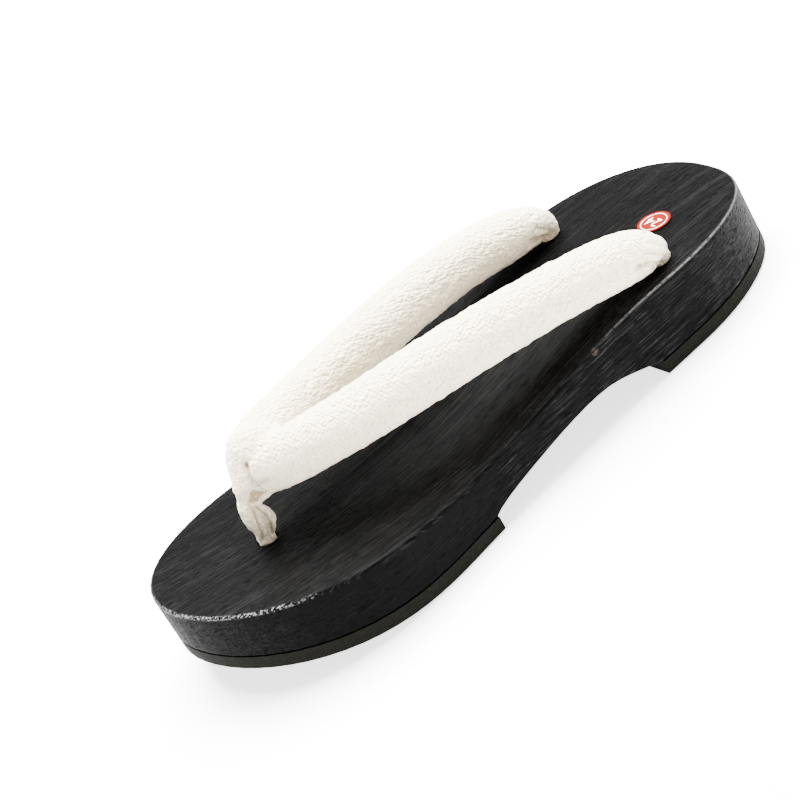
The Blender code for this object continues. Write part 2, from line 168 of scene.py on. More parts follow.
class Shader:
    """One Principled material, and one method that adds any node to it."""

    def __init__(self, name, **settings):
        self.material = bpy.data.materials.new(name)
        self.material.use_nodes = True
        self.tree = self.material.node_tree
        self.surface = self.tree.nodes["Principled BSDF"]
        for name, value in settings.items():
            self.feed(self.surface.inputs[name.replace("_", " ")], value)

    def feed(self, socket, value):
        """Link a field to a socket, or set the socket's own value."""
        if isinstance(value, Field):
            self.tree.links.new(value.socket, socket)
        elif socket.type == "RGBA" and len(value) == 3:
            socket.default_value = (*value, 1.0)
        else:
            socket.default_value = value

    def add(self, kind, settings=None, sockets=None, output=0):
        node = self.tree.nodes.new(kind)
        for name, value in (settings or {}).items():
            setattr(node, name, value)
        for name, value in (sockets or {}).items():
            self.feed(node.inputs[name], value)
        return Field(self, node.outputs[output])

    def place(self):
        return self.add("ShaderNodeTexCoord", output="Object")

    def axis(self, vector, name):
        return self.add("ShaderNodeSeparateXYZ", sockets={0: vector}, output=name)

    def attribute(self, name):
        return self.add("ShaderNodeAttribute", {"attribute_name": name}, output="Fac")

    def stretch(self, vector, scale):
        """A vector scaled by one number, or by one for each axis."""
        if isinstance(scale, (int, float)):
            scale = (scale, scale, scale)
        return self.add("ShaderNodeVectorMath", {"operation": "MULTIPLY"}, {0: vector, 1: scale})

    def shift(self, vector, factor, direction):
        """A vector moved by a factor times a direction."""
        moved = self.add("ShaderNodeVectorMath", {"operation": "SCALE"}, {0: direction, "Scale": factor})
        return self.add("ShaderNodeVectorMath", {"operation": "ADD"}, {0: vector, 1: moved})

    def distance(self, first, second):
        settings = {"operation": "DISTANCE"}
        return self.add("ShaderNodeVectorMath", settings, {0: first, 1: second}, output="Value")

    def noise(self, vector, detail=2.0, roughness=0.5):
        sockets = {"Vector": vector, "Scale": 1.0, "Detail": detail, "Roughness": roughness}
        return self.add("ShaderNodeTexNoise", sockets=sockets, output="Fac")

    def cells(self, vector, smoothness):
        settings = {"feature": "SMOOTH_F1"}
        sockets = {"Vector": vector, "Scale": 1.0, "Smoothness": smoothness}
        return self.add("ShaderNodeTexVoronoi", settings, sockets, output="Distance")

    def ease(self, value, low, high, start=0.0, end=1.0):
        """The value's way from low to high, eased and put between start and end."""
        sockets = {"Value": value, "From Min": low, "From Max": high, "To Min": start, "To Max": end}
        return self.add("ShaderNodeMapRange", {"interpolation_type": "SMOOTHSTEP"}, sockets)

    def mix(self, factor, first, second):
        sockets = {0: factor, 6: first, 7: second}
        return self.add("ShaderNodeMix", {"data_type": "RGBA"}, sockets, output=2)

    def bump(self, height, distance, strength):
        sockets = {"Height": height, "Distance": distance, "Strength": strength}
        return self.add("ShaderNodeBump", sockets=sockets)

    def wear(self, **fields):
        """Feed the surface's sockets and hand the material over."""
        for name, value in fields.items():
            self.feed(self.surface.inputs[name.replace("_", " ")], value)
        return self.material


class WoodLook(bpy.types.PropertyGroup):
    """Colours and relief of the charred board"""
    dark: FloatVectorProperty(
        name="Charred Wood", description="Colour of the burnt grooves", subtype="COLOR",
        default=(0.00050, 0.00050, 0.00050), min=0, max=1)
    light: FloatVectorProperty(
        name="Brushed Ridges", description="Colour of the ridges that brushing laid bare", subtype="COLOR",
        default=(0.0056, 0.0056, 0.0055), min=0, max=1)
    fleck: FloatVectorProperty(
        name="Bare Fibres", description="Colour of the pale fibres and dashes", subtype="COLOR",
        default=(0.024, 0.024, 0.023), min=0, max=1)
    # Painted highlight: the pale line on the heel rim stands in for light caught on the crisp arris.
    rim: FloatVectorProperty(
        name="Rubbed Rim", description="Colour of the rubbed rim beside the heel", subtype="COLOR",
        default=(0.075, 0.075, 0.073), min=0, max=1)
    # Part wear, part painted highlight: the flakes along the toe rim are a broken burnt edge, painted lighter
    # where light catches it.
    worn_and_glinting: FloatVectorProperty(
        name="Worn Toe", description="Colour of the flakes along the worn toe rim", subtype="COLOR",
        default=(0.16, 0.16, 0.16), min=0, max=1)
    chip: FloatVectorProperty(
        name="Chip", description="Place of the small brown chip on the outer rim", subtype="XYZ",
        unit="LENGTH", default=(0.0427, 0.0312, 0.0264))
    relief: FloatProperty(
        name="Relief", description="Depth of the brushed grooves", subtype="DISTANCE", unit="LENGTH",
        default=0.00022)
    gloss: FloatProperty(
        name="Gloss", description="Specular level of the wood", default=0.011, min=0, max=1)
    swell: FloatProperty(
        name="Swell", description="Height of the broad ridges of the grain", subtype="DISTANCE",
        unit="LENGTH", default=0.00009)


class RubberLook(bpy.types.PropertyGroup):
    """Colours of the rubber pads"""
    colour: FloatVectorProperty(
        name="Rubber", description="Colour of the foam rubber pads", subtype="COLOR",
        default=(0.0030, 0.0030, 0.0022), min=0, max=1)
    speck: FloatVectorProperty(
        name="Specks", description="Colour of the fine crumbs in the rubber", subtype="COLOR",
        default=(0.0070, 0.0068, 0.0050), min=0, max=1)


class ClothLook(bpy.types.PropertyGroup):
    """Colours, pebbles and filling of the crepe"""
    colour: FloatVectorProperty(
        name="Cloth", description="Colour of the crepe", subtype="COLOR",
        default=(0.86, 0.745, 0.535), min=0, max=1)
    blush: FloatVectorProperty(
        name="Blush", description="Colour of the faint pink and grey clouds", subtype="COLOR",
        default=(0.81, 0.68, 0.515), min=0, max=1)
    # Painted shade: this colour stands in for the shade in the hollows between the crepe's pebbles.
    shade: FloatVectorProperty(
        name="Between Pebbles", description="Colour between the crepe's pebbles", subtype="COLOR",
        default=(0.66, 0.56, 0.40), min=0, max=1)
    # Painted shade: the tan colour laid into the pressed creases stands in for the shade that falls in them.
    fold: FloatVectorProperty(
        name="Folds", description="Colour deep in the folds", subtype="COLOR",
        default=(0.30, 0.22, 0.11), min=0, max=1)
    rows: FloatProperty(
        name="Row Distance", description="Distance between the crepe's slanting rows", subtype="DISTANCE",
        unit="LENGTH", default=0.0021)
    pebble_height: FloatProperty(
        name="Pebble Relief", description="Depth of the crepe's fine relief", subtype="DISTANCE",
        unit="LENGTH", default=0.0010)
    crumple: FloatProperty(
        name="Crumple", description="Height of the cloth's irregular lumps", subtype="DISTANCE",
        unit="LENGTH", default=0.00030)
    pressure: FloatProperty(name="Pressure", description="Pressure of the filling", default=4.0)
    most_swell: FloatProperty(
        name="Most Swell", description="How far the filling may move a point of the cloth",
        subtype="DISTANCE", unit="LENGTH", default=0.0008)
    mesh_size: FloatProperty(
        name="Mesh Size", description="Size of the strap's mesh before it is subdivided",
        subtype="DISTANCE", unit="LENGTH", default=0.0012)
    lump: FloatProperty(
        name="Lumps", description="Height of the pebbles in the cloth's own mesh", subtype="DISTANCE",
        unit="LENGTH", default=0.00022)


class StickerLook(bpy.types.PropertyGroup):
    """Print of the size sticker"""
    colour: FloatVectorProperty(
        name="Sticker", description="Colour of the sticker", subtype="COLOR",
        default=(0.085, 0.0030, 0.0006), min=0, max=1)
    print_colour: FloatVectorProperty(
        name="Print", description="Colour of the ring and the number", subtype="COLOR",
        default=(0.90, 0.87, 0.84), min=0, max=1)
    number: StringProperty(name="Number", description="Size printed on the sticker", default="24")
    number_size: FloatProperty(
        name="Number Size", description="Font size of the printed number", subtype="DISTANCE", unit="LENGTH",
        default=0.0064)
    ring: FloatProperty(
        name="Ring", description="Radius of the printed ring", subtype="DISTANCE", unit="LENGTH",
        default=0.0047)


class StageLook(bpy.types.PropertyGroup):
    """Floor, lights and camera"""
    floor: FloatVectorProperty(
        name="Floor", description="Colour of the floor", subtype="COLOR", default=(0.93, 0.93, 0.93),
        min=0, max=1)
    glow: FloatProperty(name="Floor Glow", description="Strength of the lit floor", default=2.5, min=0)
    key: FloatProperty(
        name="Key Light", description="Power of the large overhead light", unit="POWER", default=430.0)
    side: FloatProperty(
        name="Side Light", description="Power of the lights at toe and heel", unit="POWER", default=8.0)
    back: FloatProperty(
        name="Back Light", description="Power of the low light behind", unit="POWER", default=1.5)
    sky: FloatProperty(name="Sky", description="Strength of the light from all round", default=0.9, min=0)
    lens: FloatProperty(name="Lens", description="Focal length of the camera", unit="CAMERA", default=135.0)


def select_only(piece):
    bpy.ops.object.select_all(action="DESELECT")
    piece.select_set(True)
    bpy.context.view_layer.objects.active = piece


def node_copy(node, name):
    """A free copy of a frame node's mesh, with its doubled points merged."""
    piece = bpy.data.objects.new(name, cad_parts[node].data.copy())
    piece.data.name = name
    piece.data.materials.clear()
    bpy.context.scene.collection.objects.link(piece)
    select_only(piece)
    bpy.ops.object.mode_set(mode="EDIT")
    bpy.ops.mesh.select_all(action="SELECT")
    bpy.ops.mesh.remove_doubles(threshold=0.00001)
    bpy.ops.object.mode_set(mode="OBJECT")
    return piece


def apply_modifier(piece, kind, **settings):
    modifier = piece.modifiers.new(kind.title(), kind)
    for name, value in settings.items():
        setattr(modifier, name, value)
    select_only(piece)
    bpy.ops.object.modifier_apply(modifier=modifier.name)


def points_of(piece):
    points = np.empty(len(piece.data.vertices) * 3)
    piece.data.vertices.foreach_get("co", points)
    return points.reshape(-1, 3)


def normals_of(piece):
    normals = np.empty(len(piece.data.vertices) * 3)
    piece.data.vertices.foreach_get("normal", normals)
    return normals.reshape(-1, 3)


def set_points(piece, points):
    piece.data.vertices.foreach_set("co", np.asarray(points).ravel())
    piece.data.update()


def set_field(piece, name, values):
    piece.data.attributes.new(name, "FLOAT", "POINT").data.foreach_set("value", np.asarray(values, float))


def put_on(piece, slot, *nodes, sharp=40):
    """Shade a finished piece and tie it to the frame."""
    select_only(piece)
    bpy.ops.object.shade_smooth_by_angle(angle=math.radians(sharp))
    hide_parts(*nodes)
    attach(piece, "root")


def rise(values, low, high):
    """Share of the way from low to high, held between 0 and 1."""
    return np.clip((values - low) / (high - low), 0, 1)


def deck_of(points, normals):
    """Height of the deck along the board, read between the rims and carried on to both ends."""
    inside = points[(normals[:, 2] > 0.9) & (np.abs(points[:, 0]) < 0.012)]
    inside = inside[np.argsort(inside[:, 1])]
    y, z = inside[:, 1], inside[:, 2]
    first, last = np.polyfit(y[20:80], z[20:80], 1), np.polyfit(y[-80:-20], z[-80:-20], 1)
    ends = BOARD_LOW.y, BOARD_HIGH.y
    y = np.concatenate(([ends[0]], y[12:-12], [ends[1]]))
    return y, np.concatenate(([np.polyval(first, ends[0])], z[12:-12], [np.polyval(last, ends[1])]))


def outline_tree(deck):
    """The board's outline just under its rim as a search tree, read from the frame's own mesh."""
    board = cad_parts["wood_body"]
    turns = np.linspace(0, math.pi, 900)[1:-1]
    tree = kdtree.KDTree(2 * len(turns))
    for index, y in enumerate(BOARD_LOW.y * np.cos(turns)):
        start = Vector((0.1, y, np.interp(y, *deck) - OUTLINE_DEPTH))
        hit, place, _, _ = board.ray_cast(start, Vector((-1, 0, 0)))
        if hit:
            tree.insert((place.x, y, 0), 2 * index)
            tree.insert((-place.x, y, 0), 2 * index + 1)
    tree.balance()
    return tree


def cut_grid(piece, axis, first, last, step):
    """Cut the whole mesh across with planes at even distances along one axis."""
    select_only(piece)
    bpy.ops.object.mode_set(mode="EDIT")
    normal = Vector((0, 0, 0))
    normal[axis] = 1.0
    place = first
    while place < last:
        bpy.ops.mesh.select_all(action="SELECT")
        bpy.ops.mesh.bisect(plane_co=normal * place, plane_no=normal)
        place += step
    bpy.ops.object.mode_set(mode="OBJECT")


def wood_material(look):
    """Charred and brushed softwood: soft grooves and hard ridges along the board, end grain, worn toe rim
    with painted glints, and a painted highlight on the heel rim.
    """
    shader = Shader("brushed_black_wood", Specular_IOR_Level=look.gloss)
    place = shader.place()
    y = shader.axis(place, "Y")
    edge, drop, end = (shader.attribute(name) for name in ("edge_distance", "below_deck", "end_grain"))
    wander = shader.noise(shader.stretch(place, (26, 12, 26))) - 0.5
    bent = shader.shift(place, wander, (0.007, 0.0, 0.004))
    wall = shader.ease(drop, *WALL_STARTS)

    def grain(deck_scale, wall_scale, detail, roughness=0.6):
        deck = shader.noise(shader.stretch(bent, deck_scale), detail, roughness)
        side = shader.noise(shader.stretch(bent, wall_scale), detail, roughness)
        return deck + (side - deck) * wall

    band = grain((130, 3.5, 50), (40, 4, 160), 2.0)
    hair = grain((2000, 22, 220), (350, 26, 1700), 1.0, 0.7)
    fine = grain((6500, 60, 500), (700, 70, 4500), 1.0)
    pore = grain((1500, 130, 700), (600, 130, 1300), 1.0)
    stipple = shader.noise(shader.stretch(place, 1300), 3.0, 0.65)
    cloudy = shader.noise(shader.stretch(place, 170), 2.0)
    side_grain = wall * (1 - end)
    smooth_side = side_grain * shader.ease(y, *SMOOTH_BALL)
    ridge = shader.ease(hair * 0.6 + fine * 0.4, 0.515, 0.575)
    dark_pore = shader.ease(pore, 0.57, 0.66)
    tone = ridge * shader.ease(band, 0.30, 0.70, 0.45, 1.0) * (1 - dark_pore)
    end_tone = end * shader.ease(stipple, 0.42, 0.62) * (0.3 + cloudy)
    tone = tone * (1 - smooth_side * 0.8) * (1 - end) + end_tone
    body = shader.mix(tone, look.dark, look.light)
    speck = shader.ease(shader.noise(shader.stretch(place, 2300), 1.0), 0.735, 0.79)
    body = shader.mix(speck * (1 - smooth_side) * 0.7, body, look.fleck)
    heel_side = side_grain * shader.ease(y, *HEEL_DASHES)
    dash = shader.noise(shader.stretch(bent, (900, 46, 4200)), 1.0)
    dash = shader.ease(dash, 0.615, 0.65) * shader.ease(cloudy, 0.36, 0.50)
    body = shader.mix(dash * heel_side * (0.15 + cloudy * 0.7), body, look.fleck)
    waist_side = side_grain * shader.ease(y, *WAIST_DASHES_FROM) * shader.ease(y, *WAIST_DASHES_TO)
    body = shader.mix(dash * waist_side * 0.45, body, look.fleck)
    crumb = shader.noise(shader.stretch(place, (1900, 700, 1900)), 3.0, 0.7)
    under = wall * shader.ease(drop, *BALL_BAND_DOWN)
    under = under * shader.ease(y, *BALL_BAND_FROM) * shader.ease(y, *BALL_BAND_TO)
    body = shader.mix(under * 0.85, body, look.dark)
    # Part wear, part painted highlight: pale flakes on the worn toe rim, painted lighter where light catches
    # the broken edge.
    rim = shader.ease(edge, *TOE_RIM_IN) * (1 - shader.ease(drop, *TOE_RIM_DOWN))
    toe = shader.ease(y, *TOE_WEAR_AND_GLINT)
    glinting_flake = rim * shader.ease(crumb + toe * 0.10, 0.60, 0.66) * toe
    body = shader.mix(glinting_flake, body, look.worn_and_glinting)
    # Painted highlight: a broken pale line on the rim beside the heel, for light caught on the crisp arris.
    corner = shader.ease(edge, *HEEL_RIM_IN) * (1 - shader.ease(drop, *HEEL_RIM_DOWN))
    heel_rim_highlight = corner * shader.ease(y, *HEEL_HIGHLIGHT) * shader.ease(crumb, 0.34, 0.52)
    body = shader.mix(heel_rim_highlight, body, look.rim)
    chip = shader.distance(place, look.chip)
    chip = shader.ease(chip + stipple * 0.0022, 0.0030, 0.0020) * shader.ease(stipple, 0.45, 0.55)
    body = shader.mix(chip, body, (0.024, 0.019, 0.014))
    roughness = 0.46 + dark_pore * 0.25 + end * 0.12 + glinting_flake * 0.2 - smooth_side * 0.04
    height = ridge * (1 - smooth_side * 0.75) * (1 - end) - dark_pore * 0.6 * (1 - smooth_side)
    height = height + end * stipple * 1.3 + glinting_flake * 0.8 + speck * 0.4
    return shader.wear(Base_Color=body, Roughness=roughness, Normal=shader.bump(height, look.relief, 0.9))


def rubber_material(look):
    """Dark foam rubber with pale crumbs and pits."""
    shader = Shader("foam_rubber", Specular_IOR_Level=0.03)
    place = shader.place()
    crumb = shader.noise(shader.stretch(place, 1900), 2.0, 0.7)
    pit = shader.cells(shader.stretch(place, 1100), smoothness=0.2)
    cloud = shader.noise(shader.stretch(place, 60))
    specks = shader.ease(crumb, 0.58, 0.68)
    body = shader.mix(specks * (0.4 + cloud * 0.6), look.colour, look.speck)
    normal = shader.bump(crumb * 0.6 + pit * 0.5, 0.00025, 0.8)
    return shader.wear(Base_Color=body, Roughness=0.80 + specks * 0.1, Normal=normal)


def cloth_material(look):
    """Crepe: small pebbles in slanting rows that follow the roll of the cloth, painted shade between the
    pebbles, and tan painted shade deep in the folds.
    """
    shader = Shader(
        "crepe_cloth", Specular_IOR_Level=0.25, Sheen_Weight=0.25, Sheen_Roughness=0.5,
        Subsurface_Weight=0.05, Subsurface_Radius=(0.004, 0.003, 0.002))
    place = shader.place()
    along, around = shader.attribute("along"), shader.attribute("around")
    wobble = shader.noise(shader.stretch(place, 300)) - 0.5
    turn = 2 * math.pi / look.rows
    first = (along + around * 0.45) * turn + wobble * 7.0
    second = (around * 0.95 - along * 0.40) * turn + wobble * 8.0
    grid = first.sine() * second.sine()
    cells = shader.cells(shader.stretch(place, 740), smoothness=0.25)
    thread = shader.noise(shader.stretch(place, 2600), 2.0)
    height = grid * 0.18 + 0.5 - cells * 0.80 + thread * 0.12
    deep = shader.attribute("fold")
    soft = shader.noise(shader.stretch(place, 70), 2.0)
    body = shader.mix(shader.ease(soft, 0.35, 0.70) * 0.6, look.colour, look.blush)
    # Painted shade: the low ground between the pebbles is darkened towards the shade colour.
    body = shader.mix(shader.ease(height, 0.62, 0.30) * 0.35, body, look.shade)
    # Painted shade: the pressed creases are darkened towards the tan fold colour.
    body = shader.mix(deep, body, look.fold)
    grime = shader.attribute("grime") * shader.ease(thread * 0.5 + soft * 0.5, 0.40, 0.58)
    body = shader.mix(grime, body, (0.16, 0.145, 0.12))
    return shader.wear(Base_Color=body, Roughness=0.88, Normal=shader.bump(height, look.pebble_height, 0.9))


def sticker_material(look):
    """A white ring on the film, drawn from the distance to the sticker's middle."""
    shader = Shader("printed_film", Specular_IOR_Level=0.02)
    away = shader.shift(shader.place(), -1.0, tuple(STICKER_MIDDLE))
    x, y = shader.axis(away, "X"), shader.axis(away, "Y")
    radius = (x * x + y * y) ** 0.5
    outer, inner = 0.00014, 0.00005
    ring = shader.ease(radius, look.ring - outer, look.ring - inner)
    ring = ring * shader.ease(radius, look.ring + outer, look.ring + inner)
    grime = shader.noise(shader.stretch(away, 700))
    body = shader.mix(grime * 0.25, look.colour, (0.060, 0.0022, 0.0005))
    body = shader.mix(ring, body, look.print_colour)
    return shader.wear(
        Base_Color=body, Roughness=0.5 + grime * 0.1, Normal=shader.bump(grime, 0.0001, 0.3))


class GETA_OT_stage(bpy.types.Operator):
    """Set up the pale floor, the soft studio light and the camera"""
    bl_idname = "geta.stage"
    bl_label = "Stage"

    def execute(self, context):
        look = context.scene.geta_stage
        bpy.ops.mesh.primitive_plane_add(size=6.0, location=(0, 0, -0.0002))
        floor = context.object
        floor.name = "studio_floor"
        floor.data.transform(floor.matrix_world)
        floor.matrix_world = Matrix.Identity(4)
        shader = Shader("pale_floor", Roughness=0.9)
        shader.feed(shader.surface.inputs["Emission Strength"], look.glow)
        shader.feed(shader.surface.inputs["Emission Color"], (1.0, 1.0, 1.0))
        floor.data.materials.append(shader.wear(Base_Color=look.floor))
        world = bpy.data.worlds.new("soft_sky")
        world.use_nodes = True
        background = world.node_tree.nodes["Background"]
        background.inputs["Color"].default_value = (1.0, 1.0, 1.0, 1.0)
        background.inputs["Strength"].default_value = look.sky
        context.scene.world = world
        for name, place, target, size, power in LIGHTS:
            self.add_light(context, name, Vector(place), Vector(target), size, getattr(look, power))
        self.add_camera(context, look)
        return {"FINISHED"}

    def add_light(self, context, name, place, target, size, power):
        lamp = bpy.data.lights.new(name, "AREA")
        lamp.size = size
        lamp.energy = power
        light = bpy.data.objects.new(name, lamp)
        light.location = place
        light.rotation_euler = (target - place).to_track_quat("-Z", "Y").to_euler()
        context.scene.collection.objects.link(light)

    def add_camera(self, context, look):
        azimuth, elevation, roll = (math.radians(angle) for angle in CAMERA_ANGLES)
        right = Vector((math.cos(azimuth), math.sin(azimuth), 0))
        up = Vector((-math.sin(azimuth) * math.sin(elevation), math.cos(azimuth) * math.sin(elevation),
                     math.cos(elevation)))
        rolled_right = right * math.cos(roll) + up * math.sin(roll)
        rolled_up = up * math.cos(roll) - right * math.sin(roll)
        back = rolled_right.cross(rolled_up)
        turn = Matrix((rolled_right, rolled_up, back)).transposed().to_4x4()
        data = bpy.data.cameras.new("photo_camera")
        data.lens = look.lens
        data.sensor_width = CAMERA_SENSOR
        camera = bpy.data.objects.new("photo_camera", data)
        camera.matrix_world = Matrix.Translation(CAMERA_PLACE) @ turn
        context.scene.collection.objects.link(camera)
        context.scene.camera = camera


class GETA_OT_board(bpy.types.Operator):
    """Give the board its brushed grain, its worn toe rim with painted glints and a painted highlight on its
    heel rim
    """
    bl_idname = "geta.board"
    bl_label = "Board"

    def execute(self, context):
        look = context.scene.geta_wood
        board = node_copy("wood_body", "brushed_board")
        for axis, (margin, step) in enumerate(zip(FIRST_CUTS, BOARD_CUTS)):
            cut_grid(board, axis, BOARD_LOW[axis] + margin, BOARD_HIGH[axis], step)
        points, normals = points_of(board), normals_of(board)
        deck = deck_of(points, normals)
        tree = outline_tree(deck)
        edge = np.array([tree.find((x, y, 0))[2] for x, y, z in points])
        drop = np.interp(points[:, 1], *deck) - points[:, 2]
        set_field(board, "edge_distance", edge)
        set_field(board, "below_deck", np.clip(drop, 0, 1))
        facing = rise(np.abs(normals[:, 1]), 0.45, 0.80)
        set_field(board, "end_grain", rise(drop, *END_GRAIN_STARTS) * facing)
        swell = np.array([noise.noise(Vector((x * 420, y * 16, z * 420))) for x, y, z in points])
        inside = rise(edge, *RIDGES_IN) * (drop < 0.0006)
        set_points(board, points + normals * (swell * inside * look.swell)[:, None])
        board.data.materials.append(wood_material(look))
        put_on(board, "wood", "wood_body", sharp=50)
        return {"FINISHED"}


class GETA_OT_pads(bpy.types.Operator):
    """Give both rubber pads their speckled finish"""
    bl_idname = "geta.pads"
    bl_label = "Rubber Pads"

    def execute(self, context):
        rubber = rubber_material(context.scene.geta_rubber)
        for name in ("front_rubber", "heel_rubber"):
            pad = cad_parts[name]
            pad.data.materials.clear()
            pad.data.materials.append(rubber)
        return {"FINISHED"}


def arm_lines():
    """Middle line of each arm of the frame's strap: the steps along y, the points, and the axis between."""
    points = points_of(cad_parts["strap"])
    steps = np.linspace(STRAP_LOW.y + 0.006, STRAP_HIGH.y - 0.010, 40)
    axis = (STRAP_LOW.x + STRAP_HIGH.x) / 2
    lines = {}
    for side in (-1, 1):
        own = points[(points[:, 0] - axis) * side > 0]
        middles = []
        for step in steps:
            near = own[np.abs(own[:, 1] - step) < 0.006]
            middles.append((near.min(axis=0) + near.max(axis=0)) / 2)
        lines[side] = np.array(middles)
    return steps, lines, axis


def set_cloth_fields(piece, fold, grime=None):
    """Store each point's place along and around its arm, for the crepe's rows, and its painted crease shade
    and grime.
    """
    points = points_of(piece)
    steps, lines, axis = arm_lines()
    around = np.zeros(len(points))
    for side in (-1, 1):
        own = (points[:, 0] - axis) * side >= 0
        x = np.interp(points[own, 1], steps, lines[side][:, 0])
        z = np.interp(points[own, 1], steps, lines[side][:, 2])
        angle = np.arctan2((points[own, 0] - x) * side, points[own, 2] - z)
        around[own] = angle * ARM_RADIUS
    set_field(piece, "along", points[:, 1] * ARM_LENGTH)
    set_field(piece, "around", around)
    set_field(piece, "fold", np.clip(fold, 0, 1))
    set_field(piece, "grime", np.zeros(len(points)) if grime is None else grime)


def fill_with_pressure(context, piece, pressure, most):
    """Blow a closed cloth up for twenty frames, and keep each point within reach of where it lay."""
    start = points_of(piece)
    modifier = piece.modifiers.new("Filling", "CLOTH")
    settings = modifier.settings
    settings.quality = 4
    settings.mass = 0.2
    settings.use_pressure = True
    settings.uniform_pressure_force = pressure
    settings.shrink_min = -0.03
    settings.effector_weights.gravity = 0.0
    modifier.collision_settings.use_collision = False
    modifier.point_cache.frame_start = 1
    modifier.point_cache.frame_end = 20
    for number in range(1, 21):
        context.scene.frame_set(number)
    select_only(piece)
    bpy.ops.object.modifier_apply(modifier=modifier.name)
    context.scene.frame_set(1)
    moves = points_of(piece) - start
    length = np.linalg.norm(moves, axis=1, keepdims=True)
    set_points(piece, start + moves * (np.minimum(length, most) / np.maximum(length, 1e-9)))


def line_distance(points, line):
    """Distance of each point to a line of straight parts."""
    least = np.full(len(points), np.inf)
    for first, last in zip(line[:-1], line[1:]):
        first, step = np.array(first), np.array(last) - np.array(first)
        share = np.clip((points - first) @ step / (step @ step), 0, 1)
        away = np.linalg.norm(points - first - share[:, None] * step, axis=1)
        least = np.minimum(least, away)
    return least


def press(piece, folds):
    """Press soft troughs along given lines in millimetres, and return how far each point gets painted crease
    shade.
    """
    points = points_of(piece)
    depth, crease_shade = np.zeros(len(points)), np.zeros(len(points))
    for line, width, deep, colour in folds:
        line = [piece.closest_point_on_mesh(Vector(place) * MM)[1] for place in line]
        shape = np.exp(-(line_distance(points, line) / (width * MM)) ** 2)
        depth += deep * MM * shape
        # Painted shade: each crease darkens the cloth towards the tan fold colour, most along its line.
        crease_shade = np.maximum(crease_shade, colour * shape ** 2)
    set_points(piece, points - normals_of(piece) * depth[:, None])
    return crease_shade


def crumple(piece, height, size):
    """Raise small irregular lumps all over a cloth."""
    points = points_of(piece)
    lumps = np.array([noise.noise(Vector(point) / size) for point in points])
    set_points(piece, points + normals_of(piece) * (lumps * height)[:, None])


def pebble(piece, height):
    """Raise the crepe's pebbles, about a millimetre and a half apart, so that the outline is bumpy too."""
    points = points_of(piece)
    near = np.array([noise.voronoi(Vector(point) / PEBBLE_PITCH)[0][0] for point in points])
    set_points(piece, points + normals_of(piece) * ((0.45 - near) * height)[:, None])


def keep_side(piece, place, normal):
    """Cut a piece with a plane, keep the side that the normal points to, and close the cut."""
    select_only(piece)
    bpy.ops.object.mode_set(mode="EDIT")
    bpy.ops.mesh.select_all(action="SELECT")
    bpy.ops.mesh.bisect(plane_co=place, plane_no=normal, use_fill=True, clear_inner=True)
    bpy.ops.object.mode_set(mode="OBJECT")


# Creases of the strap in millimetres: places along the line, then width, depth and share of painted shade.
STRAP_CREASES = (
    (((-2.0, -77.5, 53.0), (-0.5, -73.5, 58.0), (0.5, -66.0, 61.0)), 1.1, 0.3, 0.2),
    (((2.1, -75.5, 57.0), (3.6, -76.8, 51.5), (4.0, -76.3, 48.2), (3.6, -75.2, 46.2)), 1.1, 2.1, 1.0),
    (((3.4, -74.3, 57.5), (5.2, -71.5, 59.0), (6.0, -67.0, 60.0)), 1.0, 0.4, 0.15),
    (((1.3, -70.0, 62.5), (-0.5, -72.2, 61.0)), 1.0, 0.5, 0.45),
    (((34.6, 71.6, 29.5), (37.4, 67.4, 32.3), (39.7, 63.8, 37.0), (39.9, 59.5, 37.9)), 0.8, 1.1, 0.5),
    (((38.0, 66.5, 30.5), (39.8, 61.5, 33.5), (39.9, 55.0, 34.5)), 0.7, 0.9, 0.4),
    (((32.5, 74.5, 31.0), (35.5, 72.5, 35.0), (37.0, 69.0, 40.0)), 0.7, 0.7, 0.3),
    (((-22.5, 66.5, 30.5), (-21.5, 63.8, 33.3), (-20.0, 60.0, 35.0)), 1.2, 1.0, 0.8),
    (((-20.2, 55.5, 34.1), (-19.5, 58.0, 35.0), (-20.5, 62.0, 33.0)), 0.7, 0.9, 0.4),
)

# Pleats at each rear hole: direction in degrees from straight to the toe, length and depth in millimetres.
REAR_PLEATS = (
    (-95, 7, 0.5), (-62, 11, 1.0), (-30, 9, 0.8), (0, 12, 1.0), (35, 8, 0.7), (70, 12, 1.1), (105, 8, 0.7),
)

# A pleat in millimetres: where it starts beside the hole, how far it spreads, and how high it climbs.
PLEAT_START, PLEAT_SPREAD, PLEAT_CLIMB = 3.4, 5.2, 7.5


def strap_folds():
    """Creases beside the wrap and at both rear ends, then pleats that fan out of each rear hole."""
    folds = list(STRAP_CREASES)
    for side, (x, y) in REAR_HOLES.items():
        for turn, length, deep in REAR_PLEATS:
            out, down = math.sin(math.radians(turn)) * side, math.cos(math.radians(turn))
            line = []
            for share in (0.0, 0.33, 0.66, 1.0):
                reach = PLEAT_START + PLEAT_SPREAD * share
                line.append((x / MM + out * reach, y / MM + 1.0 - length * share - down * 1.5,
                             DECK_AT_REAR_HOLES / MM + PLEAT_CLIMB * share - down * 3.2 * share))
            # Each pleat takes a 0.55 share of the painted fold shade.
            folds.append((line, 0.9, deep, 0.55))
    return folds


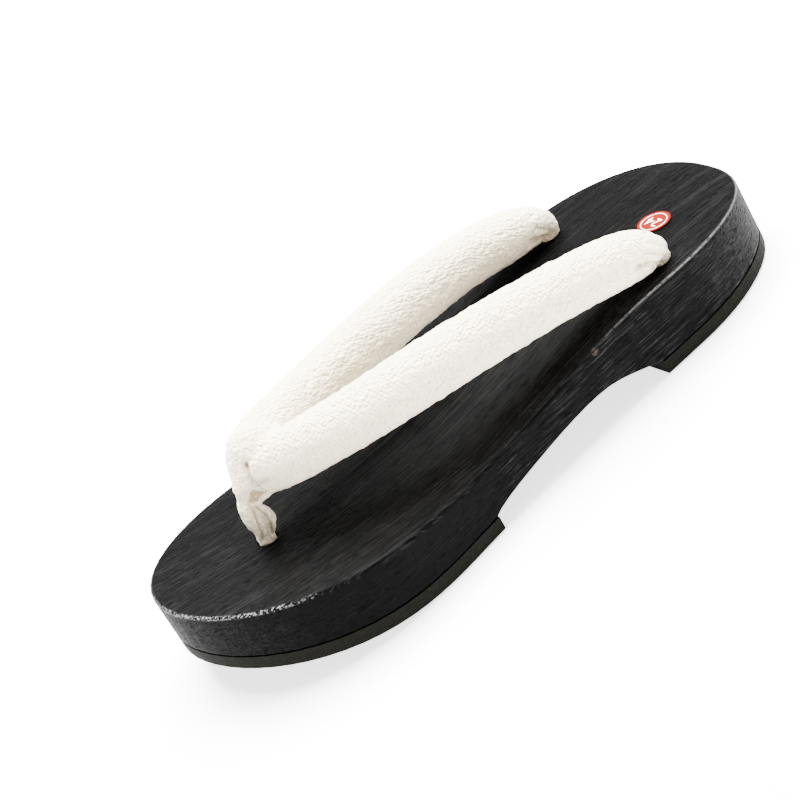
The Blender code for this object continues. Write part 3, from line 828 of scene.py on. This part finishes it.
class GETA_OT_strap(bpy.types.Operator):
    """Fill the strap and the thong's wrap as padded cloth, then crease it at the nose and the rear holes,
    with painted shade in the creases
    """
    bl_idname = "geta.strap"
    bl_label = "Strap"

    def execute(self, context):
        look = context.scene.geta_cloth
        strap = node_copy("strap", "padded_strap")
        cover = node_copy("toe_thong", "nose_cover")
        keep_side(cover, (0, 0, NOSE_CUT), (0, 0, 1))
        bpy.ops.object.select_all(action="DESELECT")
        cover.select_set(True)
        strap.select_set(True)
        context.view_layer.objects.active = strap
        bpy.ops.object.join()
        apply_modifier(strap, "REMESH", mode="VOXEL", voxel_size=look.mesh_size)
        apply_modifier(strap, "SMOOTH", factor=0.5, iterations=5)
        fill_with_pressure(context, strap, look.pressure, look.most_swell)
        apply_modifier(strap, "SUBSURF", levels=1, render_levels=1)
        fold = press(strap, strap_folds())
        crumple(strap, look.crumple, STRAP_LUMPS)
        pebble(strap, look.lump)
        set_cloth_fields(strap, fold)
        strap.data.materials.append(cloth_material(look))
        put_on(strap, "cloth", "strap", sharp=80)
        return {"FINISHED"}


# Creases of the thong, in the same columns as the strap's.
THONG_FOLDS = (
    (((-0.8, -79.0, 28.5), (0.4, -79.0, 33.0), (0.6, -79.0, 38.0), (0.6, -79.0, 40.5)), 0.6, 1.0, 0.8),
    (((0.3, -79.3, 44.0), (-0.2, -80.2, 41.6), (-0.4, -80.6, 36.7),
      (-0.8, -81.5, 33.0), (-1.3, -82.5, 29.0)), 0.7, 1.2, 0.7),
    (((-3.6, -83.8, 29.0), (-3.0, -84.2, 34.0), (-2.8, -83.5, 40.0), (-2.6, -81.2, 45.5)), 0.6, 0.6, 0.35),
    (((-4.8, -83.5, 30.0), (-4.6, -83.8, 38.0), (-5.0, -81.5, 45.0), (-5.0, -79.0, 50.0)), 0.6, 0.4, 0.15),
    (((-0.5, -75.5, 29.0), (0.8, -74.5, 32.5), (0.4, -74.8, 36.0)), 0.6, 0.5, 0.35),
    (((-2.0, -77.0, 28.0), (-1.2, -74.8, 30.5)), 0.6, 0.5, 0.5),
)

# The thong's rear leg along y, from both ends inward, then the height, reach and length of its top's move.
REAR_LEG_FRONT, REAR_LEG_BACK = (-0.0792, -0.0784), (-0.0690, -0.0730)
REAR_TOP, REAR_TOP_REACH, REAR_TOP_MOVE = 0.0412, 0.0038, 0.0024

# Going down the thong: heights where both legs swell, the foot draws in and grime shows, from the start
# to the full strength, then how much of each, and the places along y where the grime starts and is full.
LEGS_BELOW, LEGS_SWELL = (0.0440, 0.0420), 0.00055
FOOT_BELOW, FOOT_DRAWN_IN = (0.0335, 0.0270), 0.20
GRIME_BELOW, GRIME_STRENGTH = (0.0313, 0.0268), 0.8
GRIME_BEHIND = (-0.0800, -0.0770)


class GETA_OT_thong(bpy.types.Operator):
    """Fold the cloth thong round the strap's nose and gather it in the toe hole"""
    bl_idname = "geta.thong"
    bl_label = "Toe Thong"

    def execute(self, context):
        look = context.scene.geta_cloth
        thong = node_copy("toe_thong", "folded_thong")
        keep_side(thong, (0, 0, THONG_TOP), (0, 0, -1))
        self.bring_together(thong)
        self.add_gathered_end(thong)
        self.gather_foot(thong)
        apply_modifier(thong, "REMESH", mode="VOXEL", voxel_size=look.mesh_size * 0.45)
        apply_modifier(thong, "SMOOTH", factor=0.5, iterations=5)
        fold = press(thong, THONG_FOLDS)
        crumple(thong, look.crumple * 0.7, THONG_LUMPS)
        points = points_of(thong)
        grime = GRIME_STRENGTH * rise(points[:, 2], *GRIME_BELOW) * rise(points[:, 1], *GRIME_BEHIND)
        set_cloth_fields(thong, fold, grime)
        thong.data.materials.append(bpy.data.materials["crepe_cloth"])
        put_on(thong, "cloth", "toe_thong", sharp=80)
        return {"FINISHED"}

    def bring_together(self, thong):
        """Lay the rear leg's top against the front one, and swell both until they meet."""
        points, normals = points_of(thong), normals_of(thong)
        x, y, z = points.T
        rear = rise(y, *REAR_LEG_FRONT) * rise(y, *REAR_LEG_BACK)
        high = np.exp(-((z - REAR_TOP) / REAR_TOP_REACH) ** 2)
        points[:, 1] -= REAR_TOP_MOVE * rear * high
        points += normals * (LEGS_SWELL * rise(z, *LEGS_BELOW))[:, None]
        set_points(thong, points)

    def gather_foot(self, thong):
        """Draw both legs together towards the hole's axis, so that the lobe ends in a tip."""
        points = points_of(thong)
        axis = np.array(TOE_HOLE)
        low = rise(points[:, 2], *FOOT_BELOW)
        share = 1 - FOOT_DRAWN_IN * low * low * (3 - 2 * low)
        points[:, :2] = axis + (points[:, :2] - axis) * share[:, None]
        set_points(thong, points)

    def add_gathered_end(self, thong):
        """Join on the bunched cloth that fills the toe hole."""
        bpy.ops.object.select_all(action="DESELECT")
        bpy.ops.mesh.primitive_uv_sphere_add(
            segments=32, ring_count=20, radius=GATHERED_RADIUS, location=GATHERED_END)
        end = bpy.context.object
        bpy.ops.object.transform_apply(location=True, rotation=False, scale=False)
        points = points_of(end)
        turn = np.arctan2(points[:, 1] - TOE_HOLE[1], points[:, 0] - TOE_HOLE[0])
        points[:, 2] += BUNCH_HEIGHT * np.sin(BUNCHES * turn)
        set_points(end, points)
        thong.select_set(True)
        bpy.context.view_layer.objects.active = thong
        bpy.ops.object.join()


class GETA_OT_sticker(bpy.types.Operator):
    """Print the round size sticker"""
    bl_idname = "geta.sticker"
    bl_label = "Size Sticker"

    def execute(self, context):
        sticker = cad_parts["size_sticker"]
        sticker.data.materials.clear()
        look = context.scene.geta_sticker
        sticker.data.materials.append(sticker_material(look))
        self.add_number(context, look)
        return {"FINISHED"}

    def add_number(self, context, look):
        """A flat printed number that reads from the heel."""
        bpy.ops.object.select_all(action="DESELECT")
        bpy.ops.object.text_add(location=(STICKER_MIDDLE.x, STICKER_MIDDLE.y, 0.0), rotation=(0, 0, math.pi))
        number = context.object
        number.name = "sticker_number"
        number.data.body = look.number
        number.data.size = look.number_size
        number.data.offset = -look.number_size * 0.012
        number.data.align_x = "CENTER"
        number.data.align_y = "CENTER"
        bpy.ops.object.convert(target="MESH")
        bpy.ops.object.transform_apply(location=True, rotation=True, scale=True)
        bpy.ops.object.mode_set(mode="EDIT")
        bpy.ops.mesh.select_all(action="SELECT")
        bpy.ops.mesh.remove_doubles(threshold=0.000005)
        bpy.ops.mesh.extrude_region_move(TRANSFORM_OT_translate={"value": (0, 0, PRINT_THICKNESS)})
        bpy.ops.mesh.select_all(action="SELECT")
        bpy.ops.mesh.normals_make_consistent(inside=False)
        bpy.ops.object.mode_set(mode="OBJECT")
        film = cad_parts["size_sticker"]
        points = points_of(number)
        lift = np.array([film.ray_cast(Vector((x, y, 0.06)), Vector((0, 0, -1)))[1].z for x, y, z in points])
        points[:, 2] += lift + PRINT_LIFT
        set_points(number, points)
        shader = Shader("printed_number", Specular_IOR_Level=0.1)
        mottle = shader.noise(shader.stretch(shader.place(), 900))
        body = shader.mix(mottle * 0.3, look.print_colour, (0.80, 0.72, 0.68))
        number.data.materials.append(shader.wear(Base_Color=body, Roughness=0.5 + mottle * 0.1))
        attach(number, "root")


class GETA_PT_looks(bpy.types.Panel):
    """Sidebar panel with the looks of the geta"""
    bl_idname = "GETA_PT_looks"
    bl_label = "Wooden Geta"
    bl_space_type = "VIEW_3D"
    bl_region_type = "UI"
    bl_category = "Geta"

    def draw(self, context):
        for name, group, *operators in SECTIONS:
            box = self.layout.box()
            look = getattr(context.scene, name)
            for key in group.__annotations__:
                box.prop(look, key)
            for operator in operators:
                box.operator(operator.bl_idname)


SECTIONS = (
    ("geta_stage", StageLook, GETA_OT_stage),
    ("geta_wood", WoodLook, GETA_OT_board),
    ("geta_rubber", RubberLook, GETA_OT_pads),
    ("geta_cloth", ClothLook, GETA_OT_strap, GETA_OT_thong),
    ("geta_sticker", StickerLook, GETA_OT_sticker),
)


def register():
    for name, group, *operators in SECTIONS:
        bpy.utils.register_class(group)
        setattr(bpy.types.Scene, name, PointerProperty(type=group))
        for operator in operators:
            bpy.utils.register_class(operator)
    bpy.utils.register_class(GETA_PT_looks)


def unregister():
    bpy.utils.unregister_class(GETA_PT_looks)
    for name, group, *operators in reversed(SECTIONS):
        for operator in operators:
            bpy.utils.unregister_class(operator)
        delattr(bpy.types.Scene, name)
        bpy.utils.unregister_class(group)


def main():
    register()
    bpy.ops.geta.stage()
    bpy.ops.geta.board()
    bpy.ops.geta.pads()
    bpy.ops.geta.strap()
    bpy.ops.geta.thong()
    bpy.ops.geta.sticker()


if __name__ == "__main__":
    main()
